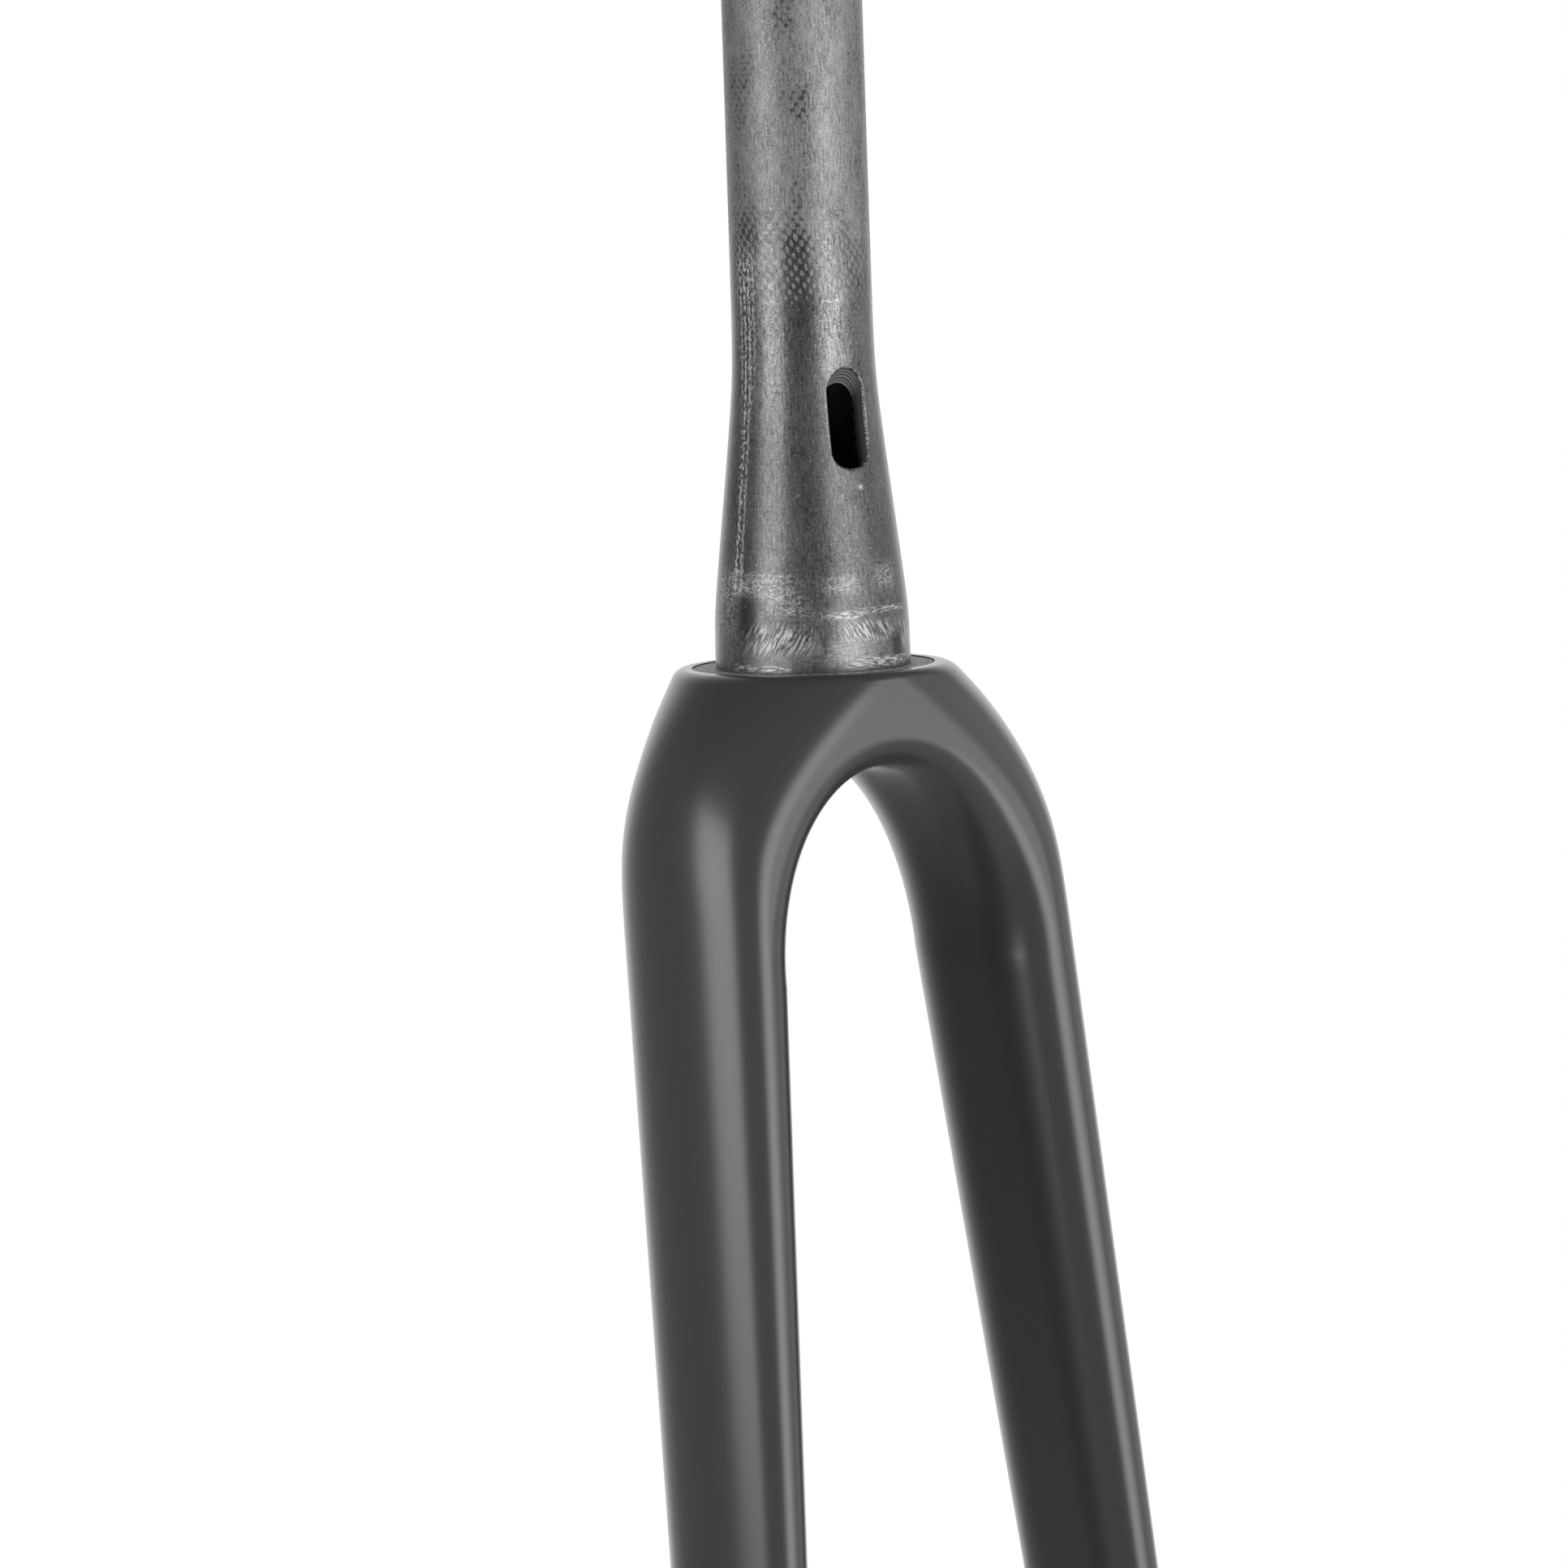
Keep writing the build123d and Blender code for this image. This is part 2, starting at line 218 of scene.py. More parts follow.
def laminateMaterial():
    made = bareLaminate
    laminate, tree, shader = newMaterial("bare carbon laminate, moulded and sanded", made["metallic"][0],
                                         made["roughness"][0])
    place = addNode(tree, "UVMap", uv_map="tubeMm")
    masks = {}
    for name, kinds in wearChannels.items():
        stored = addNode(tree, "Attribute", attribute_name=name)
        channels = addNode(tree, "SeparateColor", {"Color": stored}).node.outputs
        masks.update(zip(kinds, [*channels, stored.node.outputs["Alpha"]]))

    # sanding strokes lean to the right at the left of the seat, and to the left at its right
    arc, height, _ = addNode(tree, "SeparateXYZ", {"Vector": place}).node.outputs
    start, full = made["leanFrom"]
    lean = addNode(tree, "MapRange", {"From Min": start, "From Max": full, "To Min": -made["strokeLean"],
                                      "To Max": made["strokeLean"], "Value": arc})
    leant = addNode(tree, "Math", {0: lean, 1: height, 2: arc}, "MULTIPLY_ADD")
    leaning = addNode(tree, "CombineXYZ", {"X": leant, "Y": height})

    # noises stretched to the size of each mark, the finest drawn coarse enough to show
    pattern = {}
    for name, (wide, high, detail) in made["noises"].items():
        lie = addNode(tree, "Mapping", {"Scale": (1 / wide, 1 / high, 1.0),
                                        "Vector": leaning if name == "stroke" else place})
        pattern[name] = addNode(tree, "TexNoise", {"Scale": 1.0, "Detail": detail, "Roughness": 0.6,
                                                   "Vector": lie})

    # peel ply print: cosine of the arc times cosine of the height peaks on staggered rows, and the square of
    # the arc's cosine makes the dots taller than they are wide
    bent = addNode(tree, "Math", {0: pattern["cloud"], 1: made["printBend"], 2: arc}, "MULTIPLY_ADD")
    skewed = addNode(tree, "Math", {0: height, 1: made["printSkew"], 2: bent}, "MULTIPLY_ADD")
    waves = []
    for source, turns in ((skewed, 2 * math.pi / made["printPitch"]), (height, math.pi / made["printRow"])):
        phase = addNode(tree, "Math", {0: source, 1: turns}, "MULTIPLY")
        waves.append(addNode(tree, "Math", {0: phase}, "COSINE"))
    peaks = addNode(tree, "Math", {0: waves[0], 1: waves[1]}, "MULTIPLY")
    squared = addNode(tree, "Math", {0: waves[0], 1: waves[0]}, "MULTIPLY")
    printed = addNode(tree, "Math", {0: squared, 1: made["printTall"], 2: peaks}, "MULTIPLY_ADD")
    # sanding takes the print down from its tips near the step to nothing higher up, with patches left
    worn = printed
    for source, gain in ((pattern["fleck"], made["printFleck"]), (masks["takenDown"], made["printTakenDown"]),
                         (pattern["cloud"], made["printCloud"])):
        worn = addNode(tree, "Math", {0: source, 1: gain, 2: worn}, "MULTIPLY_ADD")
    start, full = made["printLevel"]
    tips = addNode(tree, "MapRange", {"From Min": start, "From Max": full, "Value": worn})
    matt = addNode(tree, "Math", {0: tips, 1: masks["sanded"]}, "MULTIPLY")

    # hair scratches follow the half level of their noise, the seam is a few broken upright lines, and under
    # the step only the very tips of the print are rubbed pale
    offHalf = addNode(tree, "Math", {0: pattern["hair"], 1: 0.5}, "SUBTRACT")
    pattern["hairLine"] = addNode(tree, "Math", {0: offHalf}, "ABSOLUTE")
    turns = addNode(tree, "Math", {0: arc, 1: 2 * math.pi / made["seamLineMm"]}, "MULTIPLY")
    lines = addNode(tree, "Math", {0: turns}, "COSINE")
    for name, ragged, base in (("seamLine", made["seamRagged"], lines), ("dots", made["dotRagged"], printed)):
        pattern[name] = addNode(tree, "Math", {0: pattern["fleck"], 1: ragged, 2: base}, "MULTIPLY_ADD")
    masks["moulded"] = addNode(tree, "Math", {0: 1.0, 1: masks["sanded"]}, "SUBTRACT")
    # each pale mark shows where its mask is strong; the chip mask also carries the painted highlights on the
    # step
    pale = 0.0
    for mask, name, start, full, gain in made["paleMarks"]:
        shape = addNode(tree, "MapRange", {"From Min": start, "From Max": full, "To Max": gain,
                                           "Value": pattern[name]})
        pale = addNode(tree, "Math", {0: shape, 1: masks[mask], 2: pale}, "MULTIPLY_ADD")
    # the laminate is drawn duller and darker on the flare than on the straight tube
    start, full = made["flareFrom"]
    onFlare = addNode(tree, "MapRange", {"From Min": full, "From Max": start, "Value": height})
    darkAndShade = addNode(tree, "Math", {0: onFlare, 1: made["flareDarkening"], 2: masks["dark"]}, "MULTIPLY_ADD")
    unscratched = addNode(tree, "Math", {0: 1.0, 1: pale}, "SUBTRACT", use_clamp=True)
    dark = addNode(tree, "Math", {0: darkAndShade, 1: unscratched}, "MULTIPLY")
    # painted shade: the pit is only a dark spot in the colour, standing in for the shade its hollow would
    # hold
    spots = {"nicks": pale, "pitShade": dark}
    near, far = made["spotEdge"]
    for kind in spots:
        for x, z, radius, gain in made[kind]:
            away = addNode(tree, "VectorMath", {0: place, 1: (x, z, 0.0)}, "DISTANCE")
            torn = addNode(tree, "Math", {0: pattern["fleck"], 1: radius * made["spotTorn"], 2: away},
                           "MULTIPLY_ADD")
            spot = addNode(tree, "MapRange", {"From Min": radius * near, "From Max": radius * far,
                                              "To Min": gain, "To Max": 0.0, "Value": torn})
            spots[kind] = addNode(tree, "Math", {0: spots[kind], 1: spot}, "ADD", use_clamp=True)
    pale, dark = spots["nicks"], spots["pitShade"]

    # colour: mottled fibre or sanded grey, then pale scratches and the painted highlights on the step, then
    # the dark tone, which also carries the painted shade of the pit
    mottle = made["mottleFrom"]
    for name, gain in made["mottle"]:
        mottle = addNode(tree, "Math", {0: pattern[name], 1: gain, 2: mottle}, "MULTIPLY_ADD")
    shown, sanded = (addNode(tree, "Mix", {"A": linear(made[kind][0]), "B": linear(made[kind][1]),
                                           "Factor": mottle}, data_type="RGBA")
                     for kind in ("fibre", "sanded"))
    for over, factor in ((sanded, matt), (linear(made["scratch"]), pale), (linear(made["darkAndShade"]), dark)):
        shown = addNode(tree, "Mix", {"A": shown, "B": over, "Factor": factor}, data_type="RGBA")
    fibreShine = addNode(tree, "MapRange", {"To Min": made["metallic"][0], "To Max": made["flareMetallic"],
                                            "Value": onFlare})
    metal = addNode(tree, "MapRange", {"To Min": fibreShine, "To Max": made["metallic"][1], "Value": matt})
    dulled = addNode(tree, "MapRange", {"To Min": 1.0, "To Max": made["scratchShine"], "Value": pale})
    shine = addNode(tree, "Math", {0: metal, 1: dulled}, "MULTIPLY")
    finish = addNode(tree, "MapRange", {"To Min": made["roughness"][0], "To Max": made["roughness"][1],
                                        "Value": matt})
    relief = addNode(tree, "Math", {0: matt, 1: pale}, "ADD")
    grained = addNode(tree, "Math", {0: pattern["speck"], 1: made["grainRelief"], 2: relief},
                      "MULTIPLY_ADD")
    bump = addNode(tree, "Bump", {"Strength": made["reliefStrength"], "Distance": made["reliefMm"] * mm,
                                  "Height": grained})
    feed(tree, shader, {"Base Color": shown, "Metallic": shine, "Roughness": finish, "Normal": bump})
    return laminate


# Laminate edge left by the cutter: stacked plies, seen as lighter and darker lines round the port and tube
# end, drawn coarser than real plies so that they show
cutLaminate = dict(dark="#333334", light="#7a7a7b", plyMm=0.8, bendMm=1.25, bendStretch=0.6, roughness=0.55,
                   reliefMm=0.06, reliefStrength=0.4)


def cutEdgeMaterial():
    made = cutLaminate
    edge, tree, shader = newMaterial("carbon laminate edge, milled", 0.0, made["roughness"])
    place = addNode(tree, "UVMap", uv_map="tubeMm")
    lie = addNode(tree, "Mapping", {"Scale": (made["bendStretch"], 1.0, 1.0), "Vector": place})
    bend = addNode(tree, "TexNoise", {"Scale": 1 / made["bendMm"], "Detail": 3.0, "Vector": lie})
    across = addNode(tree, "SeparateXYZ", {"Vector": place}).node.outputs["Y"]
    depth = addNode(tree, "Math", {0: bend, 1: across}, "ADD")
    plies = addNode(tree, "Math", {0: depth, 1: 2 * math.pi / made["plyMm"]}, "MULTIPLY")
    lines = addNode(tree, "Math", {0: plies}, "SINE")
    tone = addNode(tree, "MapRange", {"From Min": -1.0, "Value": lines})
    twoTone(tree, shader, made, tone, tone)
    return edge


# Turned aluminium: bright, with fine rings from the lathe drawn coarse enough to show
turnedAlloy = dict(dark="#a4a4a6", light="#cfcfd1", roughness=0.3, ringMm=0.35, grainMm=0.4,
                   axle=(-50.0, -380.0), reliefMm=0.01, reliefStrength=0.25)


def aluminiumMaterial():
    made = turnedAlloy
    alloy, tree, shader = newMaterial("aluminium, turned", 1.0, made["roughness"])
    place = addNode(tree, "TexCoord").node.outputs["Object"]
    y, z = made["axle"]
    centred = addNode(tree, "Mapping", {"Location": (0.0, -y * mm, -z * mm), "Scale": (0.0, 1.0, 1.0),
                                        "Vector": place})
    radius = addNode(tree, "VectorMath", {0: centred}, "LENGTH")
    turns = addNode(tree, "Math", {0: radius, 1: 2 * math.pi / (made["ringMm"] * mm)}, "MULTIPLY")
    rings = addNode(tree, "Math", {0: turns}, "SINE")
    grain = addNode(tree, "TexNoise", {"Scale": 1 / (made["grainMm"] * mm), "Detail": 2.0, "Vector": place})
    twoTone(tree, shader, made, grain, rings)
    return alloy


# Moulded rubber: matt black with a fine grain, drawn coarse enough to show
mouldedRubber = dict(dark="#121212", light="#222222", roughness=0.75, grainMm=0.35, reliefMm=0.02,
                     reliefStrength=0.3)


def rubberMaterial():
    made = mouldedRubber
    rubber, tree, shader = newMaterial("rubber, moulded", 0.0, made["roughness"])
    place = addNode(tree, "TexCoord").node.outputs["Object"]
    grain = addNode(tree, "TexNoise", {"Scale": 1 / (made["grainMm"] * mm), "Detail": 2.0, "Vector": place})
    twoTone(tree, shader, made, grain, grain)
    return rubber


paint = paintMaterial()
faced = ringMaterial()
laminate = laminateMaterial()
cutEdge = cutEdgeMaterial()
alloy = aluminiumMaterial()
rubber = rubberMaterial()
print("materials made")

# Crown and legs: one skin from leg to leg, in sections square to the arch wall
fork = dict(crownRadius=28.0, shoulderHeight=42.9, shoulderFullness=2.42, depthHeight=40.9, depthFullness=2.3,
            flatHeight=55.4, flatFullness=2.9, bulge=2.5, bulgeHeight=7.2, backFill=2.2, rimRadius=1.5,
            archDrop=19.7, archHeight=41.7, gapHalf=25.1, legWidth=22.4, legDepth=45.7, legEndDepth=30.0,
            outerShare=0.51, cornerWidth=0.49, cornerDepth=0.92, archCornerWidth=0.33, archCornerDepth=0.4,
            axleDrop=380.0, rake=50.0, hubHalf=50.0, dropoutThickness=12.0, wellRadius=15.0, wellDepth=13.0,
            splitDrop=178.0, rimSteps=73, shoulderSteps=90, legSteps=40, topSteps=12, wellSteps=4,
            archTurn=1.4, archSteps=4000, sharpTurn=50)
archSpring = fork["archDrop"] + fork["archHeight"]
legLength = fork["axleDrop"] - archSpring
axleEnd = fork["hubHalf"] + fork["dropoutThickness"]
legOuterHalf = fork["gapHalf"] + fork["legWidth"]
outerSlope = (axleEnd - legOuterHalf) / legLength
gapSlope = (fork["hubHalf"] - fork["gapHalf"]) / legLength
depthSlope = (fork["legDepth"] - fork["legEndDepth"]) / 2 / legLength
rakeSlope = (fork["rake"] - fork["bulge"]) / fork["axleDrop"]
outerAtSeat = legOuterHalf - outerSlope * archSpring
depthAtSeat = fork["legDepth"] / 2 + depthSlope * archSpring


def rimInset(drop):
    # quarter round at the crown top: how far the skin draws in, from the rim radius at the top to none
    share = np.clip(1 - drop / fork["rimRadius"], 0, 1)
    return fork["rimRadius"] * (1 - np.sqrt(1 - share ** 2))


def gapSide(drop):
    return fork["gapHalf"] + gapSlope * (drop - archSpring)


def legLine(drop):
    # outer side of a leg, straight from the axle up to the level of the seat
    return outerAtSeat + outerSlope * drop


def legHalfDepth(drop):
    return depthAtSeat - depthSlope * drop


def outerSide(drop):
    # straight leg line, drawn in to the crown top by a power curve over the shoulder
    left = 1 - np.clip(drop / fork["shoulderHeight"], 0, 1)
    return legLine(drop) - (outerAtSeat - fork["crownRadius"]) * left ** fork["shoulderFullness"]


def skinDepth(drop):
    # straight leg line, swelling to the round crown top by a power curve
    left = 1 - np.clip(drop / fork["depthHeight"], 0, 1)
    return legHalfDepth(drop) + (fork["crownRadius"] - depthAtSeat) * left ** fork["depthFullness"]


def crownBack(drop):
    # cubic hump behind the crown's rim, full a third of the way down to the arch
    share = np.clip(drop / fork["archDrop"], 0, 1)
    return fork["backFill"] * 27 / 4 * share * (1 - share) ** 2


def flatFront(drop):
    # half width of the flat between the rounded sides, none at the crown top
    left = 1 - np.clip(drop / fork["flatHeight"], 0, 1)
    rounded = fork["outerShare"] * (legLine(drop) - gapSide(drop))
    return (outerSide(drop) - rounded) * (1 - left ** fork["flatFullness"])


def centreLine(drop):
    # the rake, and the crown's forward bulge
    return -rakeSlope * drop - fork["bulge"] * (1 - np.exp(-drop / fork["bulgeHeight"]))


def archStations(turn):
    # feet on the half ellipse of the arch and its outward normals
    foot = np.stack([fork["gapHalf"] * np.sin(turn), fork["archHeight"] * np.cos(turn) - archSpring], -1)
    normal = np.stack([np.sin(turn) / fork["gapHalf"], np.cos(turn) / fork["archHeight"]], -1)
    normal /= np.linalg.norm(normal, axis=-1, keepdims=True)
    return foot, normal, np.full_like(turn, fork["legWidth"]), np.cos(turn) ** 2


def legStations(side, drop):
    # feet on the straight inner side of a leg, facing outwards
    foot = np.stack([side * gapSide(drop), -drop], -1)
    way = np.stack([np.full_like(drop, side), np.zeros_like(drop)], -1)
    return foot, way, legLine(drop) - gapSide(drop), np.zeros_like(drop)


def sectionSheets(foot, way, width, tightness, wallSteps=8, cornerSteps=16, faceSteps=56, halvings=60):
    # each section runs along its arch wall, round an elliptic corner and over the face to the tip or the
    # crown top; the front corner is tighter at the top of the arch and opens out down to the legs
    near, far = np.zeros(len(foot)), np.full(len(foot), 2 * axleEnd)
    for _ in range(halvings):
        middle = (near + far) / 2
        tip = foot + way * middle[:, None]
        drop = -tip[:, 1]
        inside = (drop > 0) & (np.abs(tip[:, 0]) < outerSide(drop) - rimInset(drop))
        near, far = np.where(inside, middle, near), np.where(inside, far, middle)
    reach = near[:, None]
    turn = np.linspace(0, np.pi / 2, cornerSteps, endpoint=False)
    sweep = np.linspace(0, np.pi / 2, faceSteps)
    rise = np.linspace(0, 1, wallSteps, endpoint=False)[None, :]
    sheets = []
    for wayOut in (-1, 1):
        tight = tightness[:, None] * (wayOut < 0)
        cornerShare = fork["cornerWidth"] + (fork["archCornerWidth"] - fork["cornerWidth"]) * tight
        corner = width[:, None] * cornerShare
        run = np.concatenate([corner * (1 - np.cos(turn)), corner + (reach - corner) * np.sin(sweep)], 1)
        x = foot[:, :1] + way[:, :1] * run
        z = np.minimum(foot[:, 1:] + way[:, 1:] * run, 0)
        drop = -z
        side = outerSide(drop) - rimInset(drop)
        flat = np.minimum(flatFront(drop), side)
        share = np.clip((np.abs(x) - flat) / np.maximum(side - flat, 1e-9), 0, 1)
        swell = np.sqrt(1 - share ** 2)
        topEnd = drop[:, -1:] < 1e-6
        swell[:, -1:] = np.where(topEnd, swell[:, -1:], 0)
        bend = np.clip(1 - run / corner, 0, 1)
        cornerDepth = fork["cornerDepth"] + (fork["archCornerDepth"] - fork["cornerDepth"]) * tight
        cut = cornerDepth * legHalfDepth(drop) * (1 - np.sqrt(1 - bend ** 2))
        depth = (skinDepth(drop) - rimInset(drop)) * swell - cut
        if wayOut > 0:
            depth = depth + crownBack(drop) * swell ** 3
        face = np.stack([x, centreLine(drop) + wayOut * depth, z], -1)
        wallY = centreLine(drop[:, :1]) + wayOut * depth[:, :1] * rise
        wall = np.stack([np.repeat(x[:, :1], wallSteps, 1), wallY, np.repeat(z[:, :1], wallSteps, 1)], -1)
        sheets.append(np.concatenate([wall, face], 1))
    return sheets, topEnd[:, 0]


def crownAndLegs():
    # sections evenly round the crown's rim, then down each shoulder and leg
    fine = np.linspace(0, fork["archTurn"], fork["archSteps"])
    feet, ways, _, _ = archStations(fine)
    topX = feet[:, 0] - ways[:, 0] * feet[:, 1] / ways[:, 1]
    rim = fork["crownRadius"] - fork["rimRadius"]
    rimTurns = np.interp(rim * np.sin(np.linspace(0, np.pi / 2, fork["rimSteps"])), topX, fine)
    shoulderTurns = np.linspace(rimTurns[-1], np.pi / 2, fork["shoulderSteps"])[1:]
    half = np.concatenate([rimTurns, shoulderTurns])
    turns = np.concatenate([-half[:0:-1], half])
    drops = archSpring + (fork["splitDrop"] - archSpring) * np.linspace(0, 1, fork["legSteps"])[1:]
    parts = [legStations(-1.0, drops[::-1]), archStations(turns), legStations(1.0, drops)]
    foot, way, width, tightness = (np.concatenate(values) for values in zip(*parts))
    (front, rear), topEnd = sectionSheets(foot, way, width, tightness)
    loop = np.concatenate([front[topEnd, -1], rear[topEnd, -1][::-1], front[topEnd, -1][:1]])
    out = loop / np.linalg.norm(loop[:, :2], axis=1, keepdims=True)
    lengths = np.linalg.norm(loop[:, :2], axis=1)[None, :, None]
    # crown top: paint up to the faced ring, a small step down, the ring, and the well under the steerer
    blend = np.linspace(0, 1, fork["topSteps"])[:, None, None]
    edge, step = facedRing["radius"], np.array([0, 0, facedRing["step"]])
    painted = out[None] * (lengths * (1 - blend) + edge * blend) * [1, 1, 0]
    ring = out[None] * (edge + (fork["wellRadius"] - edge) * blend) * [1, 1, 0] - step
    ledge = np.stack([painted[-1], ring[0]])
    well = np.repeat(ring[-1:], fork["wellSteps"], 0)
    well[:, :, 2] = -np.linspace(facedRing["step"], fork["wellDepth"], fork["wellSteps"])[:, None]
    sheets = [front, rear, painted, ledge, ring, well]
    kinds = [np.full((len(sheet) - 1) * (sheet.shape[1] - 1), kind)
             for sheet, kind in zip(sheets, (0, 0, 0, 1, 1, 1))]
    points, faces = joinSheets(sheets)
    return makePiece("crownAndLegs", points, faces, [paint, faced], np.concatenate(kinds),
                     sharpTurn=fork["sharpTurn"])


# Steerer: a turned profile with the hose port let into the front of its flare
steerer = dict(radius=14.3, length=300.0, endChamfer=0.6, seatRadius=19.9, seatHeight=10.5, flareHeight=58.5,
               boreRadius=11.1, flareBore=15.0, softSeat=0.5, softTube=0.9,
               portWidth=9.0, portLength=22.0, portHeight=50.5, portSlant=42.0, lip=0.55,
               # rows of the tube: from, to and how many; the port's window is cut from portRows
               rowRuns=((-1.5, 8.0, 20), (8.3, 13.0, 26), (13.5, 30.0, 24), (30.0, 72.0, 43),
                        (72.0, 80.0, 33), (82.0, 296.0, 60), (297.0, 299.4, 6), (299.7, 300.0, 2)),
               portRows=(30.0, 72.0, 43), columns=192, portColumns=26,
               # distances of the first rings round the port from its edge, then even rings out to the window
               rimRings=(0, 0.03, 0.08, 0.15, 0.24, 0.35, 0.48, 0.62, 0.9, 1.4, 2.2), outerRings=12,
               wallMm=4.0, wallSteps=16, endSteps=5, sharpTurn=40)


def flareShare(z):
    # 0 at the seat to 1 at the top of the flare
    return (z - steerer["seatHeight"]) / (steerer["flareHeight"] - steerer["seatHeight"])


def flareLine(z):
    return steerer["seatRadius"] + (steerer["radius"] - steerer["seatRadius"]) * flareShare(z)


def outerRadius(z):
    # lesser of seat and cone, then greater of that and tube, each with a soft corner
    a, b, k = steerer["seatRadius"], flareLine(z), steerer["softSeat"]
    lower = (a + b - np.sqrt((a - b) ** 2 + k ** 2)) / 2 + k * k / 8
    a, k = steerer["radius"], steerer["softTube"]
    upper = (a + lower + np.sqrt((a - lower) ** 2 + k ** 2)) / 2 - k * k / 40
    return np.where(z > steerer["length"] - steerer["endChamfer"],
                    upper - (z - steerer["length"] + steerer["endChamfer"]), upper)


def boreRadius(z):
    share = np.clip(flareShare(z), 0, 1)
    return steerer["flareBore"] + (steerer["boreRadius"] - steerer["flareBore"]) * share


def tubePoint(angle, z, radius):
    # points round the steerer's axis, with the angle 0 at the front
    x, y = radius * np.sin(angle), -radius * np.cos(angle)
    return np.stack([x, y, np.broadcast_to(z, x.shape)], -1)


def portOutline(angle, z):
    # where a ray from the port's middle towards each border point meets the stadium outline of the slot
    half = steerer["portWidth"] / 2
    straight = steerer["portLength"] / 2 - half
    ray = np.stack([angle * flareLine(steerer["portHeight"]), z - steerer["portHeight"]], -1)
    ray /= np.linalg.norm(ray, axis=-1, keepdims=True)
    dx, dz = np.abs(ray[:, 0]), np.abs(ray[:, 1])
    onSide = dz * half <= straight * dx
    reach = np.where(onSide, half / np.maximum(dx, 1e-9),
                     straight * dz + np.sqrt(np.maximum(half ** 2 - (straight * dx) ** 2, 0)))
    return ray * reach[:, None]


def portOn(outline, radiusAt, rounds=40):
    # the outline carried along the port's slant onto a surface of revolution
    slope = math.tan(math.radians(steerer["portSlant"]))
    x = outline[:, 0]
    z = steerer["portHeight"] + outline[:, 1]
    for _ in range(rounds):
        y = -np.sqrt(radiusAt(z) ** 2 - x ** 2)
        z = steerer["portHeight"] + outline[:, 1] - (y + flareLine(steerer["portHeight"])) * slope
    return np.arcsin(x / radiusAt(z)), z


# Wear on the steerer, and two painted highlights on the edge of the sanding step among the chips, each mark
# at an arc (mm at the tube's radius, 0 at the front) and a height above the seat: arc, height, half width,
# half height, strength
steererWear = dict(
    hatch=((-13.9, 6.7, 5.8, 3.0, 0.9), (0.7, 8.0, 5.4, 2.0, 0.9), (8.6, 6.5, 1.8, 3.2, 0.7),
           (17.0, 8.0, 6.0, 3.0, 0.7), (-34.0, 7.0, 6.0, 3.0, 0.7)),
    hair=((-17.8, 17.8, 7.3, 2.4, 0.9), (-12.5, 13.8, 3.4, 2.4, 0.7), (-4.1, 17.6, 3.2, 1.7, 0.8),
          (4.4, 18.6, 2.7, 3.0, 0.9), (-24.5, 14.5, 3.5, 7.0, 0.8), (-8.0, 11.5, 5.0, 1.5, 0.4),
          (20.0, 14.0, 8.0, 5.0, 0.6), (-38.0, 13.0, 7.0, 5.0, 0.6)),
    # the two thin chips at 74.8 mm are painted highlights on the edge of the sanding step, which the tube's
    # outline does not have
    chipAndHighlight=((-3.9, 11.3, 2.6, 0.7, 1.0), (4.0, 12.0, 4.8, 0.6, 0.9), (2.7, 1.4, 6.0, 1.0, 1.0),
          (-15.5, 0.8, 3.4, 0.5, 0.9), (-20.5, 1.0, 1.5, 0.8, 0.7), (-15.7, 74.8, 1.6, 0.25, 0.6),
          (-2.6, 74.8, 2.0, 0.25, 0.6)),
    smear=((-15.0, 2.4, 4.8, 2.0, 0.6), (-1.1, 3.9, 5.2, 2.7, 0.8), (-24.5, 5.0, 3.0, 4.0, 0.4),
           (17.0, 4.0, 6.0, 3.0, 0.6), (-8.2, 3.4, 3.6, 2.8, 0.55), (3.0, 1.3, 5.5, 1.0, 0.9)),
    dark=((-19.2, 10.8, 1.9, 5.0, 0.55), (6.3, 4.8, 1.5, 3.0, 0.7), (-7.2, 6.0, 0.7, 2.0, 0.3)),
    seamAngle=87.0, seamLow=15.0, seamHigh=88.0, seamHalf=(1.2, 2.6), seamWidens=(0.45, 0.25),
    seamEnds=(2.0, 6.0), rimWidth=0.4, rimFull=1.2, rimStrength=0.5)


def wearMarks(arc, z, rim):
    # each mark is a soft ellipse; sanding starts at the step and takes the print down as it rises above it;
    # the mould seams run up both sides, wider at their tops, and the port's rim is scratched
    marks = steererWear
    shown = {}
    for kind in ("hatch", "hair", "chipAndHighlight", "smear", "dark"):
        shown[kind] = np.zeros_like(arc)
        for place, height, halfWidth, halfHeight, strength in marks[kind]:
            away = ((arc - place) / halfWidth) ** 4 + ((z - height) / halfHeight) ** 4
            shown[kind] += strength * np.exp(-away)
    shown["chipAndHighlight"] += rim
    above = z - bareLaminate["stepHeight"]
    shown["sanded"] = above / bareLaminate["stepFade"] + 0.5
    shown["takenDown"] = above / bareLaminate["sandedOver"]
    low, high = marks["seamLow"], marks["seamHigh"]
    line = math.radians(marks["seamAngle"]) * steerer["radius"]
    start, over = marks["seamWidens"]
    widened = np.clip((np.clip((z - low) / (high - low), 0, 1) - start) / over, 0, 1)
    narrow, wide = marks["seamHalf"]
    half = narrow + (wide - narrow) * widened
    foot, top = marks["seamEnds"]
    ends = np.clip((z - low) / foot, 0, 1) * np.clip((high - z) / top, 0, 1)
    shown["seam"] = np.exp(-((np.abs(arc) - line) / half) ** 4) * ends
    return {name: np.clip(np.stack([shown[kind] for kind in kinds], -1), 0, 1)
            for name, kinds in wearChannels.items()}


